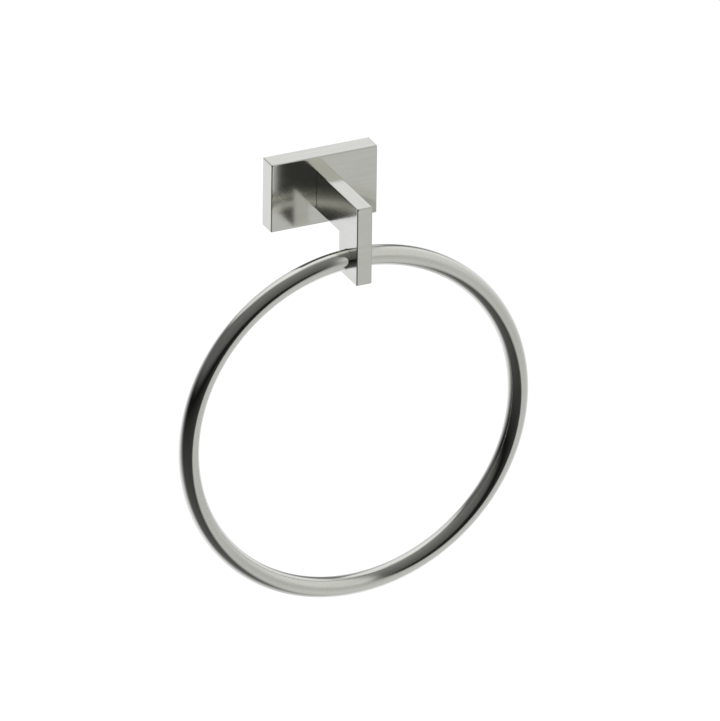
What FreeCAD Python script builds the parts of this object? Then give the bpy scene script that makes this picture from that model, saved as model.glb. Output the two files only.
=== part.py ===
"""Towel ring: a hollow cover plate on a hidden wall bracket, an inverted-L arm and a round ring.

Frame: the origin is the centre of the plate's back on the wall. +X is right as seen from the room,
+Z is up, and the object stands out from the wall towards -Y. All lengths are in millimetres.
"""
import FreeCAD, Part
import math
import os
import re
import Sketcher

SIZES = [
    ("plate_width", 60.0, "cover plate, left to right"),
    ("plate_height", 38.4, "cover plate, bottom to top"),
    ("plate_depth", 10.5, "cover plate, wall to front face"),
    ("plate_wall", 3.0, "wall round the cover's hollow"),
    ("plate_face", 3.0, "front wall of the cover"),
    ("hollow_corner", 2.0, "radius in the corners of the hollow"),
    ("edge_break", 0.3, "broken edges of plate and arm"),
    ("bar_width", 22.0, "flat bar of the arm and its leg"),
    ("bar_thickness", 8.6, "flat bar, left to right"),
    ("arm_reach", 49.5, "plate front to the front of the leg"),
    ("leg_height", 43.9, "top of the arm to the foot of the leg"),
    ("ring_inside", 176.4, "inside diameter of the ring"),
    ("ring_bar", 10.6, "diameter of the ring's round bar"),
    ("bore_play", 0.15, "room round the ring's bar in its bore"),
    ("end_gap", 0.3, "gap between the ends of the ring, inside the bore"),
    ("sheet_steel", 2.0, "thickness of the wall bracket"),
    ("bend_inside", 0.5, "inside radius of the bracket's bends"),
    ("bracket_side_play", 2.0, "bracket to cover wall, left and right"),
    ("bracket_drop_play", 1.5, "bracket to cover wall, below"),
    ("flange_play", 0.5, "bracket flange to the cover's front wall"),
    ("slot_width", 4.5, "wall screw slots"),
    ("slot_length", 7.0, "wall screw slots, end to end"),
    ("slot_inset", 8.0, "bracket end to slot centre"),
    ("screw_size", 4.0, "nominal diameter of all screws"),
    ("thread_play", 0.05, "room round a thread in its tapped hole"),
    ("screw_play", 0.2, "room round a screw in its clearance hole"),
    ("head_diameter", 7.0, "low round head of an arm screw"),
    ("head_height", 2.8, "low round head of an arm screw"),
    ("arm_screw_length", 10.0, "arm screw, below its head"),
    ("arm_screw_spacing", 12.0, "between the two arm screws"),
    ("tip_room", 1.5, "thread left below an arm screw's tip"),
    ("head_socket", 2.5, "hexagon socket of an arm screw, across its flats"),
    ("head_socket_depth", 1.6, "hexagon socket of an arm screw"),
    ("grub_socket", 2.0, "hexagon socket of a headless screw, across its flats"),
    ("grub_socket_depth", 2.0, "hexagon socket of a headless screw"),
    ("dog_diameter", 2.5, "plain tip of the locking screw"),
    ("dog_play", 0.25, "room round the locking screw's tip in the bracket"),
    ("locking_recess", 0.5, "locking screw below the plate's lower edge"),
    ("ring_screw_recess", 1.0, "ring screw, up inside the leg's foot"),
]

CHANGING_FEATURES = (
    "PartDesign::Pocket",
    "PartDesign::Hole",
    "PartDesign::Fillet",
    "PartDesign::Chamfer",
)
SMALLEST_CHANGE = 0.001

DERIVED = [
    ("hollow_depth", "plate_depth - plate_face", "wall plane to the floor of the hollow"),
    ("hollow_half_width", "plate_width / 2 - plate_wall", "middle to the hollow's side"),
    ("hollow_half_height", "plate_height / 2 - plate_wall", "middle to the hollow's top"),
    ("front_plane", "plate_depth + arm_reach", "wall plane to the front of the leg"),
    ("rear_plane", "front_plane - bar_width", "wall plane to the rear of the leg"),
    ("ring_plane", "front_plane - bar_width / 2", "wall plane to the ring's middle"),
    ("foot_level", "bar_width / 2 - leg_height", "height of the leg's foot"),
    ("bore_level", "foot_level + bar_width / 2", "height of the bore's axis"),
    ("ring_radius", "(ring_inside + ring_bar) / 2", "radius of the ring's middle line"),
    ("ring_level", "bore_level - ring_radius", "height of the ring's centre"),
    ("flange_reach", "hollow_depth - flange_play", "wall plane to the edge of a flange"),
    ("bracket_top", "hollow_half_height", "upper flange, which carries the cover"),
    ("bracket_bottom", "bracket_drop_play - hollow_half_height", "lower flange, outside"),
    ("bracket_width", "2 * (hollow_half_width - bracket_side_play)", "bracket, left to right"),
    ("bend_outside", "bend_inside + sheet_steel", "outside radius of the bracket's bends"),
    ("slot_offset", "bracket_width / 2 - slot_inset", "middle to each slot's centre"),
    ("lock_distance", "(flange_reach + bend_outside) / 2", "wall plane to the locking screw"),
    ("lock_end", "locking_recess - plate_height / 2", "height of the locking screw's socket end"),
    ("ring_screw_end", "foot_level + ring_screw_recess", "height of the ring screw's socket end"),
    ("ring_screw_seat", "ring_level + sqrt(ring_inside ^ 2 - screw_size ^ 2) / 2",
     "height at which the ring screw's tip meets the curved bar"),
]


def make_sheet(doc):
    """The spreadsheet: plain driving sizes first, then the sizes worked out from them."""
    sheet = doc.addObject("Spreadsheet::Sheet", "sizes")
    rows = [(name, str(value), words) for name, value, words in SIZES]
    rows += [(name, "=" + formula, words) for name, formula, words in DERIVED]
    for row, (name, content, words) in enumerate(rows, start=1):
        sheet.set(f"A{row}", words)
        sheet.set(f"B{row}", content)
        sheet.setAlias(f"B{row}", name)
    doc.recompute()
    return sheet


def from_sheet(formula):
    """A formula of size names, with each name looked up in the spreadsheet."""
    return re.sub(r"[a-z]+(_[a-z]+)+", r"sizes.\g<0>", formula)


def make_body(doc, name):
    body = doc.addObject("PartDesign::Body", name)
    body.Label = name
    return body


def origin_plane(body, role):
    return next(item for item in body.Origin.OriginFeatures if item.Role == role)


def make_sketch(body, name, role, shift=("0", "0", "0")):
    """A sketch on one of the body's own planes, moved in the plane's axes by three formulas."""
    sketch = body.newObject("Sketcher::SketchObject", name)
    sketch.AttachmentSupport = [(origin_plane(body, role), "")]
    sketch.MapMode = "FlatFace"
    for axis, formula in zip("xyz", shift):
        sketch.setExpression(f"AttachmentOffset.Base.{axis}", from_sheet(formula))
    return sketch


def place_point(sketch, geometry, end, x_formula, y_formula):
    """Ties a point to the sketch's origin by two signed distances."""
    for kind, formula in (("DistanceX", x_formula), ("DistanceY", y_formula)):
        bound = from_sheet(formula)
        value = float(sketch.evalExpression(bound))
        index = sketch.addConstraint(Sketcher.Constraint(kind, -1, 1, geometry, end, value))
        sketch.setExpression(f"Constraints[{index}]", bound)


def draw_outline(sketch, corners):
    """A closed outline of straight edges through corners that are pairs of formulas."""
    places = [
        FreeCAD.Vector(*(float(sketch.evalExpression(from_sheet(word))) for word in corner), 0)
        for corner in corners
    ]
    following = places[1:] + places[:1]
    lines = [
        sketch.addGeometry(Part.LineSegment(start, end), False)
        for start, end in zip(places, following)
    ]
    for line, after in zip(lines, lines[1:] + lines[:1]):
        sketch.addConstraint(Sketcher.Constraint("Coincident", line, 2, after, 1))
    for line, (x_formula, y_formula) in zip(lines, corners):
        place_point(sketch, line, 1, x_formula, y_formula)


def draw_rectangle(sketch, half_width, half_height):
    """A rectangle about the sketch's origin."""
    draw_outline(sketch, [
        (f"-({half_width})", f"-({half_height})"),
        (half_width, f"-({half_height})"),
        (half_width, half_height),
        (f"-({half_width})", half_height),
    ])


def draw_circle(sketch, x_formula, y_formula, diameter):
    centre = [float(sketch.evalExpression(from_sheet(word))) for word in (x_formula, y_formula)]
    bound = from_sheet(diameter)
    radius = float(sketch.evalExpression(bound)) / 2
    shape = Part.Circle(FreeCAD.Vector(*centre, 0), FreeCAD.Vector(0, 0, 1), radius)
    circle = sketch.addGeometry(shape, False)
    place_point(sketch, circle, 3, x_formula, y_formula)
    index = sketch.addConstraint(Sketcher.Constraint("Diameter", circle, 2 * radius))
    sketch.setExpression(f"Constraints[{index}]", bound)


def draw_hexagon(sketch, across_flats):
    """A regular hexagon about the sketch's origin, two of its flats level."""
    half = f"({across_flats}) / 2"
    corner = f"({across_flats}) / sqrt( 3 )"
    draw_outline(sketch, [
        (corner, "0"),
        (f"{corner} / 2", half),
        (f"-{corner} / 2", half),
        (f"-{corner}", "0"),
        (f"-{corner} / 2", f"-{half}"),
        (f"{corner} / 2", f"-{half}"),
    ])


def draw_slot(sketch, x_formula):
    """A level slot with round ends, centred on the sketch's X axis."""
    half_straight = "(slot_length - slot_width) / 2"
    centre, straight, radius = (
        float(sketch.evalExpression(from_sheet(word)))
        for word in (x_formula, half_straight, "slot_width / 2")
    )
    left = FreeCAD.Vector(centre - straight, 0, 0)
    right = FreeCAD.Vector(centre + straight, 0, 0)
    up = FreeCAD.Vector(0, radius, 0)
    normal = FreeCAD.Vector(0, 0, 1)
    quarter = math.pi / 2
    top = sketch.addGeometry(Part.LineSegment(right + up, left + up), False)
    bottom = sketch.addGeometry(Part.LineSegment(left - up, right - up), False)
    left_end = sketch.addGeometry(
        Part.ArcOfCircle(Part.Circle(left, normal, radius), quarter, 3 * quarter), False)
    right_end = sketch.addGeometry(
        Part.ArcOfCircle(Part.Circle(right, normal, radius), -quarter, quarter), False)
    sketch.addConstraint([
        Sketcher.Constraint("Tangent", top, 2, left_end, 1),
        Sketcher.Constraint("Tangent", left_end, 2, bottom, 1),
        Sketcher.Constraint("Tangent", bottom, 2, right_end, 1),
        Sketcher.Constraint("Tangent", right_end, 2, top, 1),
    ])
    place_point(sketch, left_end, 3, f"{x_formula} - {half_straight}", "0")
    index = sketch.addConstraint(
        Sketcher.Constraint("DistanceX", left_end, 3, right_end, 3, 2 * straight))
    sketch.setExpression(f"Constraints[{index}]", from_sheet("slot_length - slot_width"))
    index = sketch.addConstraint(Sketcher.Constraint("Radius", left_end, radius))
    sketch.setExpression(f"Constraints[{index}]", from_sheet("slot_width / 2"))


def make_pad(body, sketch, name, length, symmetric=False):
    pad = body.newObject("PartDesign::Pad", name)
    pad.Profile = sketch
    pad.SideType = "Symmetric" if symmetric else "One side"
    pad.setExpression("Length", from_sheet(length))
    return pad


def make_pocket(body, sketch, name, length=None, forward=True):
    """A pocket that cuts along the sketch's normal; with no length it runs through both ways."""
    pocket = body.newObject("PartDesign::Pocket", name)
    pocket.Profile = sketch
    pocket.Reversed = forward
    if length is None:
        pocket.Type = "ThroughAll"
        pocket.SideType = "Symmetric"
    else:
        pocket.setExpression("Length", from_sheet(length))
    return pocket


def make_revolution(body, sketch, name, axis, angle="360"):
    turned = body.newObject("PartDesign::Revolution", name)
    turned.Profile = sketch
    turned.ReferenceAxis = (sketch, [axis])
    turned.Midplane = True
    turned.setExpression("Angle", from_sheet(angle))
    return turned


def straight_edges(base, wanted):
    """The names of a feature's straight edges whose middle and direction pass the test."""
    return [
        f"Edge{number}"
        for number, edge in enumerate(base.Shape.Edges, start=1)
        if not edge.Degenerated and isinstance(edge.Curve, Part.Line)
        and wanted(edge.CenterOfMass, edge.Curve.Direction)
    ]


def round_edges(body, base, name, radius, wanted):
    fillet = body.newObject("PartDesign::Fillet", name)
    fillet.Base = (base, straight_edges(base, wanted))
    fillet.setExpression("Radius", from_sheet(radius))
    return fillet


def break_edges(body, base, name, size, wanted):
    chamfer = body.newObject("PartDesign::Chamfer", name)
    chamfer.Base = (base, straight_edges(base, wanted))
    chamfer.setExpression("Size", from_sheet(size))
    return chamfer


def near(value, target):
    return abs(value - target) < 1e-4


def make_cover_plate(doc, sheet):
    """A box that is open to the wall, with holes for the arm screws and the locking screw."""
    body = make_body(doc, "cover_plate")
    outline = make_sketch(body, "plate_outline", "XZ_Plane")
    draw_rectangle(outline, "plate_width / 2", "plate_height / 2")
    block = make_pad(body, outline, "plate_block", "plate_depth")
    doc.recompute()
    break_edges(
        body, block, "plate_edges", "edge_break", lambda middle, _: not near(middle.y, 0))

    opening = make_sketch(body, "hollow_outline", "XZ_Plane")
    draw_rectangle(opening, "hollow_half_width", "hollow_half_height")
    hollow = make_pocket(body, opening, "hollow", "hollow_depth")
    doc.recompute()
    side, top = sheet.hollow_half_width, sheet.hollow_half_height
    round_edges(
        body, hollow, "hollow_corners", "hollow_corner",
        lambda middle, way: (
            near(abs(way.y), 1) and near(abs(middle.x), side) and near(abs(middle.z), top)))

    drilled = make_sketch(body, "arm_screw_places", "XZ_Plane", ("0", "0", "hollow_depth"))
    for sign in ("", "-"):
        draw_circle(drilled, "0", f"{sign}arm_screw_spacing / 2", "screw_size + 2 * screw_play")
    make_pocket(body, drilled, "arm_screw_holes", "plate_face")

    tapped = make_sketch(body, "locking_place", "XY_Plane", ("0", "0", "-plate_height / 2"))
    draw_circle(tapped, "0", "-lock_distance", "screw_size + 2 * thread_play")
    make_pocket(body, tapped, "locking_hole", "plate_wall")
    return body


def make_wall_bracket(doc, sheet):
    """A strip of steel with two flanges turned forward and two level slots for the wall screws."""
    body = make_body(doc, "wall_bracket")
    section = make_sketch(body, "bracket_section", "YZ_Plane")
    draw_outline(section, [
        ("0", "bracket_bottom"),
        ("0", "bracket_top"),
        ("-flange_reach", "bracket_top"),
        ("-flange_reach", "bracket_top - sheet_steel"),
        ("-sheet_steel", "bracket_top - sheet_steel"),
        ("-sheet_steel", "bracket_bottom + sheet_steel"),
        ("-flange_reach", "bracket_bottom + sheet_steel"),
        ("-flange_reach", "bracket_bottom"),
    ])
    channel = make_pad(body, section, "channel", "bracket_width", symmetric=True)
    doc.recompute()
    outer = round_edges(
        body, channel, "outer_bends", "bend_outside",
        lambda middle, way: near(abs(way.x), 1) and near(middle.y, 0))
    doc.recompute()
    round_edges(
        body, outer, "inner_bends", "bend_inside",
        lambda middle, way: near(abs(way.x), 1) and near(middle.y, -sheet.sheet_steel))

    slots = make_sketch(body, "slot_places", "XZ_Plane")
    for sign in ("", "-"):
        draw_slot(slots, f"{sign}slot_offset")
    make_pocket(body, slots, "slots")

    dog = make_sketch(body, "dog_place", "XY_Plane", ("0", "0", "bracket_bottom"))
    draw_circle(dog, "0", "-lock_distance", "dog_diameter + 2 * dog_play")
    make_pocket(body, dog, "dog_hole", "sheet_steel")
    return body


def make_arm(doc, sheet):
    """One flat bar as an upside-down L: drilled at its root, bored for the ring at its leg."""
    body = make_body(doc, "arm")
    profile = make_sketch(body, "arm_profile", "YZ_Plane")
    draw_outline(profile, [
        ("-plate_depth", "bar_width / 2"),
        ("-front_plane", "bar_width / 2"),
        ("-front_plane", "foot_level"),
        ("-rear_plane", "foot_level"),
        ("-rear_plane", "-bar_width / 2"),
        ("-plate_depth", "-bar_width / 2"),
    ])
    bar = make_pad(body, profile, "bar", "bar_thickness", symmetric=True)
    doc.recompute()
    root, rear, under = -sheet.plate_depth, -sheet.rear_plane, -sheet.bar_width / 2
    break_edges(
        body, bar, "arm_edges", "edge_break",
        lambda middle, _: (
            not near(middle.y, root) and not (near(middle.y, rear) and near(middle.z, under))))

    bore = make_sketch(body, "bore_place", "YZ_Plane")
    draw_circle(bore, "-ring_plane", "bore_level", "ring_bar + 2 * bore_play")
    make_pocket(body, bore, "ring_bore")

    root_holes = make_sketch(body, "root_hole_places", "XZ_Plane", ("0", "0", "plate_depth"))
    for sign in ("", "-"):
        draw_circle(
            root_holes, "0", f"{sign}arm_screw_spacing / 2", "screw_size + 2 * thread_play")
    doc.recompute()
    tapped = body.newObject("PartDesign::Hole", "root_holes")
    tapped.Profile = root_holes
    doc.recompute()
    tapped.ThreadType = "None"
    tapped.DrillPoint = "Flat"
    tapped.Reversed = True
    tapped.setExpression("Diameter", from_sheet("screw_size + 2 * thread_play"))
    tapped.setExpression("Depth", from_sheet("arm_screw_length - plate_face + tip_room"))

    clamp = make_sketch(body, "clamp_place", "XY_Plane", ("0", "0", "foot_level"))
    draw_circle(clamp, "0", "-ring_plane", "screw_size + 2 * thread_play")
    make_pocket(body, clamp, "clamp_hole", "bar_width / 2")
    return body


def make_ring(doc):
    """A round bar turned about the ring's centre, with its two ends a hair apart in the bore."""
    body = make_body(doc, "ring")
    section = make_sketch(body, "ring_section", "YZ_Plane", ("-ring_plane", "ring_level", "0"))
    draw_circle(section, "0", "-ring_radius", "ring_bar")
    make_revolution(
        body, section, "ring_bar_turned", "H_Axis", "360 - 180 / pi * end_gap / ring_radius")
    return body


def make_arm_screws(doc):
    """Two socket screws whose low heads sit on the floor of the hollow."""
    body = make_body(doc, "arm_screws")
    half = "arm_screw_spacing / 2"
    radius = "screw_size / 2"
    top = "head_height - hollow_depth"
    tip = "-hollow_depth - arm_screw_length"
    profile = make_sketch(body, "screw_profile", "YZ_Plane", ("0", half, "0"))
    draw_outline(profile, [
        (top, "0"),
        (top, "head_diameter / 2"),
        ("-hollow_depth", "head_diameter / 2"),
        ("-hollow_depth", radius),
        (tip, radius),
        (tip, "0"),
    ])
    make_revolution(body, profile, "screw_turned", "H_Axis")
    socket = make_sketch(body, "screw_socket", "XZ_Plane", ("0", half, "hollow_depth - head_height"))
    draw_hexagon(socket, "head_socket")
    make_pocket(body, socket, "screw_socket_cut", "head_socket_depth")
    doc.recompute()
    pair = body.newObject("PartDesign::Mirrored", "screw_pair")
    pair.TransformMode = "Whole shape"
    pair.MirrorPlane = (origin_plane(body, "XY_Plane"), [""])
    body.Tip = pair
    return body


def make_locking_screw(doc):
    """A headless screw whose plain tip enters the bracket's lower flange from below."""
    body = make_body(doc, "locking_screw")
    radius = "screw_size / 2"
    profile = make_sketch(body, "locking_profile", "YZ_Plane", ("-lock_distance", "0", "0"))
    draw_outline(profile, [
        ("0", "lock_end"),
        (radius, "lock_end"),
        (radius, "bracket_bottom"),
        ("dog_diameter / 2", "bracket_bottom"),
        ("dog_diameter / 2", "bracket_bottom + sheet_steel"),
        ("0", "bracket_bottom + sheet_steel"),
    ])
    make_revolution(body, profile, "locking_turned", "V_Axis")
    socket = make_sketch(body, "locking_socket", "XY_Plane", ("0", "-lock_distance", "lock_end"))
    draw_hexagon(socket, "grub_socket")
    make_pocket(body, socket, "locking_socket_cut", "grub_socket_depth")
    return body


def make_ring_screw(doc):
    """A headless screw in the foot of the leg, whose flat tip bears on both ends of the ring."""
    body = make_body(doc, "ring_screw")
    radius = "screw_size / 2"
    profile = make_sketch(body, "clamp_profile", "YZ_Plane", ("-ring_plane", "0", "0"))
    draw_outline(profile, [
        ("0", "ring_screw_end"),
        (radius, "ring_screw_end"),
        (radius, "ring_screw_seat"),
        ("0", "ring_screw_seat"),
    ])
    make_revolution(body, profile, "clamp_turned", "V_Axis")
    socket = make_sketch(body, "clamp_socket", "XY_Plane", ("0", "-ring_plane", "ring_screw_end"))
    draw_hexagon(socket, "grub_socket")
    make_pocket(body, socket, "clamp_socket_cut", "grub_socket_depth")
    return body


def check_document(doc, bodies):
    """Stops on an object that failed, a cut that changed nothing or a piece with no sound solid."""
    for item in doc.Objects:
        if "Invalid" in item.State or "Error" in item.State:
            raise RuntimeError(f"{item.Name} failed: {item.State}")
        if item.TypeId in CHANGING_FEATURES:
            change = abs(item.BaseFeature.Shape.Volume - item.Shape.Volume)
            if change < SMALLEST_CHANGE:
                raise RuntimeError(f"{item.Name} changed {change:.4f} mm3")
    for body in bodies:
        if body.Shape.isNull() or not body.Shape.isValid() or not body.Shape.Solids:
            raise RuntimeError(f"{body.Label} has no sound solid")


def write_parts(bodies):
    os.makedirs("parts", exist_ok=True)
    for body in bodies:
        body.Shape.exportStep(os.path.join("parts", body.Label + ".step"))
        box = body.Shape.BoundBox
        print(
            f"{body.Label}: {len(body.Shape.Solids)} solid(s), {body.Shape.Volume:.1f} mm3, "
            f"x {box.XMin:.2f} to {box.XMax:.2f}, y {box.YMin:.2f} to {box.YMax:.2f}, "
            f"z {box.ZMin:.2f} to {box.ZMax:.2f}")


def main():
    doc = FreeCAD.newDocument("towel_ring")
    sheet = make_sheet(doc)
    bodies = [
        make_cover_plate(doc, sheet),
        make_wall_bracket(doc, sheet),
        make_arm(doc, sheet),
        make_ring(doc),
        make_arm_screws(doc),
        make_locking_screw(doc),
        make_ring_screw(doc),
    ]
    doc.recompute()
    check_document(doc, bodies)
    write_parts(bodies)


main()
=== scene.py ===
# %% [markdown]
# This scene dresses a towel ring: a flat cover on the wall, a square-edged arm that turns down, and a round
# ring held in the end of that arm. All of it is nickel with a satin finish. A CAD model already holds the
# true sizes, so it is loaded first, and every surface below is laid on the places that it gives.

# %% Load the CAD frame
import math

import bmesh
import bpy
import numpy as np
from mathutils import Matrix, Vector
from mathutils.geometry import tessellate_polygon


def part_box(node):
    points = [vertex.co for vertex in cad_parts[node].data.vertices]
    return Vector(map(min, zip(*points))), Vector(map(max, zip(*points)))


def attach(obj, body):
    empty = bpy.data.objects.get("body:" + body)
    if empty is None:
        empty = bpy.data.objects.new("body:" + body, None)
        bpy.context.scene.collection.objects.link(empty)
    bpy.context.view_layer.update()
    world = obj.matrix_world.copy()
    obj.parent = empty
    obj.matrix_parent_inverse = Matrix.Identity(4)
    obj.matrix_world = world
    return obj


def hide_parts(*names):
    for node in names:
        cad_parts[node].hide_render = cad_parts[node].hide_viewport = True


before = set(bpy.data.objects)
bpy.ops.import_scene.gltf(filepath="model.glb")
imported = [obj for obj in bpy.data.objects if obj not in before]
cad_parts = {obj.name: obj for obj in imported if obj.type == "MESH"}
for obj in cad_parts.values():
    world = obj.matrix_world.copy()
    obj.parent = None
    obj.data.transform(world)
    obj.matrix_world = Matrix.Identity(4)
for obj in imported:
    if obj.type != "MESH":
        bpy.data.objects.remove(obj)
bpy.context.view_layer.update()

print("CAD nodes:", ", ".join(sorted(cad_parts)))

# %% [markdown]
# The wall is the plane Y = 0, the object stands out from it towards -Y, and Z points up. Each node's box
# says where a piece starts and ends. What a box can't say, such as a wall's thickness, is written just
# before it is needed. Names in capitals hold chosen values, and those in small letters what is worked out.

# %% Places
MM = 0.001

plate_low, plate_high = (np.array(corner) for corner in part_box("cover_plate"))
arm_low, arm_high = (np.array(corner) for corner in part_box("arm"))
ring_low, ring_high = (np.array(corner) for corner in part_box("ring"))
bracket_low, bracket_high = (np.array(corner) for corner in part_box("wall_bracket"))
front = plate_low[1]
bar_radius = (ring_high[1] - ring_low[1]) / 2
ring_radius = (ring_high[0] - ring_low[0]) / 2 - bar_radius
ring_centre = (ring_low + ring_high) / 2
print("cover, its width, depth and height in millimetres:", np.round((plate_high - plate_low) / MM, 1))
print(f"ring: bar {2 * bar_radius / MM:.1f} mm, middle circle {2 * ring_radius / MM:.1f} mm across")

# %% [markdown]
# The photograph was taken from the left and from above with a long lens, so an orthographic camera fits it:
# parallel edges stay parallel. Its three angles and its scale were worked out from the corners of the cover
# and from the ring's outline. A constraint could aim the camera, but a matrix of its own right, up and back
# axes holds the roll as well.

# %% The camera
AZIMUTH, ELEVATION, ROLL = (math.radians(angle) for angle in (-25.29, 25.89, 0.683))
PICTURE_WIDTH, PICTURE_HEIGHT = 720, 721
PIXELS_PER_METRE = 1942.14
ORIGIN_PIXEL = (315.626, 180.951)
CAMERA_DISTANCE = 1.2
CAMERA_REACH = 20


def aim_camera():
    """Builds the camera. Back points at the viewer, right lies level and up is square to both, then the roll
    turns right and up. The picture's middle lies aside of and below the pixel that shows the origin."""
    back = Vector((math.sin(AZIMUTH) * math.cos(ELEVATION),
                   -math.cos(AZIMUTH) * math.cos(ELEVATION),
                   math.sin(ELEVATION)))
    level = Vector((math.cos(AZIMUTH), math.sin(AZIMUTH), 0))
    upright = back.cross(level)
    right = level * math.cos(ROLL) + upright * math.sin(ROLL)
    up = upright * math.cos(ROLL) - level * math.sin(ROLL)
    aside = PICTURE_WIDTH / 2 - ORIGIN_PIXEL[0]
    below = PICTURE_HEIGHT / 2 - ORIGIN_PIXEL[1]
    middle = right * aside / PIXELS_PER_METRE - up * below / PIXELS_PER_METRE
    camera = bpy.data.objects.new("camera", bpy.data.cameras.new("camera"))
    camera.data.type = "ORTHO"
    camera.data.ortho_scale = PICTURE_HEIGHT / PIXELS_PER_METRE
    camera.data.clip_end = CAMERA_REACH
    turn = Matrix((right, up, back)).transposed().to_4x4()
    camera.matrix_world = Matrix.Translation(middle + back * CAMERA_DISTANCE) @ turn
    bpy.context.scene.collection.objects.link(camera)
    bpy.context.scene.camera = camera
    print(f"camera: {camera.data.ortho_scale:.3f} m across the picture, aimed at {middle}")


aim_camera()
bpy.context.scene.view_settings.view_transform = "Standard"

# %% [markdown]
# A material in Blender is a tree of nodes, and its maths reads best as ordinary arithmetic. A Wire is one
# output socket, and its operators add the Math nodes. The reflected forms serve where a plain number stands
# first, so that 1 - mask works.

# %% Wires


class Wire:
    """An output socket. Arithmetic on it adds Math nodes."""

    def __init__(self, paint, socket):
        self.paint = paint
        self.socket = socket

    def __add__(self, other):
        return self.paint.maths("ADD", self, other)

    def __sub__(self, other):
        return self.paint.maths("SUBTRACT", self, other)

    def __rsub__(self, other):
        return self.paint.maths("SUBTRACT", other, self)

    def __mul__(self, other):
        return self.paint.maths("MULTIPLY", self, other)

    def __neg__(self):
        return self.paint.maths("MULTIPLY", self, -1)

    __radd__ = __add__
    __rmul__ = __mul__


# %% [markdown]
# Every other node comes from one method of the tree that owns it. It takes the node's type, its settings,
# and the values or wires of its sockets. Colours and vectors go through Mix and Vector Math, because a Math
# node would turn a colour grey.

# %% Node trees


class Paint:
    """The node tree of a material or of the world, emptied and ready to be wired."""

    def __init__(self, owner):
        owner.use_nodes = True
        self.owner = owner
        self.tree = owner.node_tree
        self.tree.nodes.clear()

    def node(self, kind, settings, sockets, output=0):
        """Adds a node: its settings first, then its sockets' values or wires. Returns one of its outputs."""
        node = self.tree.nodes.new(kind)
        for name, value in settings.items():
            setattr(node, name, value)
        for name, value in sockets.items():
            if isinstance(value, Wire):
                self.tree.links.new(value.socket, node.inputs[name])
            else:
                node.inputs[name].default_value = value
        return Wire(self, node.outputs[output]) if node.outputs else None

    def beside(self, wire, output):
        """Another output of the node that a wire comes from."""
        return Wire(self, wire.socket.node.outputs[output])

    def maths(self, operation, *values):
        """One Math node on numbers or wires."""
        return self.node("ShaderNodeMath", {"operation": operation}, dict(enumerate(values)))

    def smooth(self, value, low, high):
        """Rises softly from 0 at low to 1 at high."""
        sockets = {"Value": value, "From Min": low, "From Max": high}
        return self.node("ShaderNodeMapRange", {"interpolation_type": "SMOOTHSTEP"}, sockets)

    def step(self, value, edge, blur):
        """Rises softly from 0 to 1 round an edge, from one blur before it to one blur past it."""
        return self.smooth(value, edge - blur, edge + blur)

    def show(self, surface):
        """Ends a material's tree with the surface that it shows."""
        self.node("ShaderNodeOutputMaterial", {}, {"Surface": surface})

    def mix(self, share, first, second):
        """Blends two colours: first at share 0, second at share 1."""
        return self.node("ShaderNodeMix", {"data_type": "RGBA"}, {0: share, 6: first, 7: second}, 2)

    def scale(self, vector, factors):
        """Multiplies a vector by three factors, one for each of its directions."""
        return self.node("ShaderNodeVectorMath", {"operation": "MULTIPLY"}, {0: vector, 1: factors})

    def noise(self, vector, detail):
        """Soft noise from 0 to 1 with features about one unit apart."""
        return self.node("ShaderNodeTexNoise", {}, {"Vector": vector, "Scale": 1, "Detail": detail})


def laid_over(below, above, mask):
    """One brightness laid over another: below where the mask is 0, above where it is 1."""
    return below + (above - below) * mask


# %% [markdown]
# Bare metal has no colour of its own to speak of: it shows the room. In the photograph that room is a studio
# with white behind the object, one large soft light on its right and a black card on its left. A picture of
# a room could wrap the scene, but a painted studio needs no file, and each of its parts can be moved alone.
#
# The parts are painted by direction, in degrees. Turn is 0 straight out of the wall and grows to the right,
# and height is counted from the horizon. Brightness 1 is the white of the background, and a term such as
# 0.12 * paint.smooth(height, 20, 90) rises by 0.12 between those heights. The numbers were read off the
# photograph's ring, because a round bar mirrors nearly every direction somewhere. The black card comes
# first, since it fills all that the other parts leave free.

# %% The black card
CARD_BLACK = 0.006


def black_card(paint, height):
    """Nearly black level with the horizon, and a little lighter towards the top and the foot."""
    lower = 0.0018 * paint.maths("MAXIMUM", -height, 0)
    return CARD_BLACK + lower + 0.132 * paint.smooth(height, 0, 22) + 0.12 * paint.smooth(height, 20, 90)


# %% [markdown]
# A soft box is a lamp behind a sheet of white cloth, a rectangle with round corners. The distance from such
# a shape has a short formula, so one soft step on it makes the mask. Cloth is never lit quite evenly, and
# the ring shows that plainly, so it is painted as well.

# %% The soft box
BOX_LEFT = 18.2
BOX_RIGHT = 131
BOX_MIDDLE = -5
BOX_HALF_HEIGHT = 73.5
BOX_CORNER = 38


def past(paint, value, middle, half):
    """How far a value lies outside the stretch of half on both sides of a middle, and 0 inside it."""
    return paint.maths("MAXIMUM", paint.maths("ABSOLUTE", value - middle) - half, 0)


def box_mask(paint, turn, height):
    """1 inside the box. How far a direction lies past the centres of the round corners, level and upright,
    makes a distance, and the edge is where that equals the corners' radius. Below the horizon the box runs
    on to the right, and low down its left edge lies further left and is softer."""
    low_part = paint.smooth(-height, 22, 32)
    left = BOX_LEFT - 7.2 * low_part
    right = BOX_RIGHT + 60 * paint.smooth(-height, -8.5, 15.5)
    level = past(paint, turn, 0.5 * (left + right), 0.5 * (right - left) - BOX_CORNER)
    upright = past(paint, height, BOX_MIDDLE, BOX_HALF_HEIGHT - BOX_CORNER)
    reach = paint.maths("SQRT", level * level + upright * upright)
    blur = 3 + 12 * paint.smooth(height, 35, 70) + 8 * low_part + 11 * paint.smooth(turn, 90, 120)
    return 1 - paint.step(reach, BOX_CORNER, blur)


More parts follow.
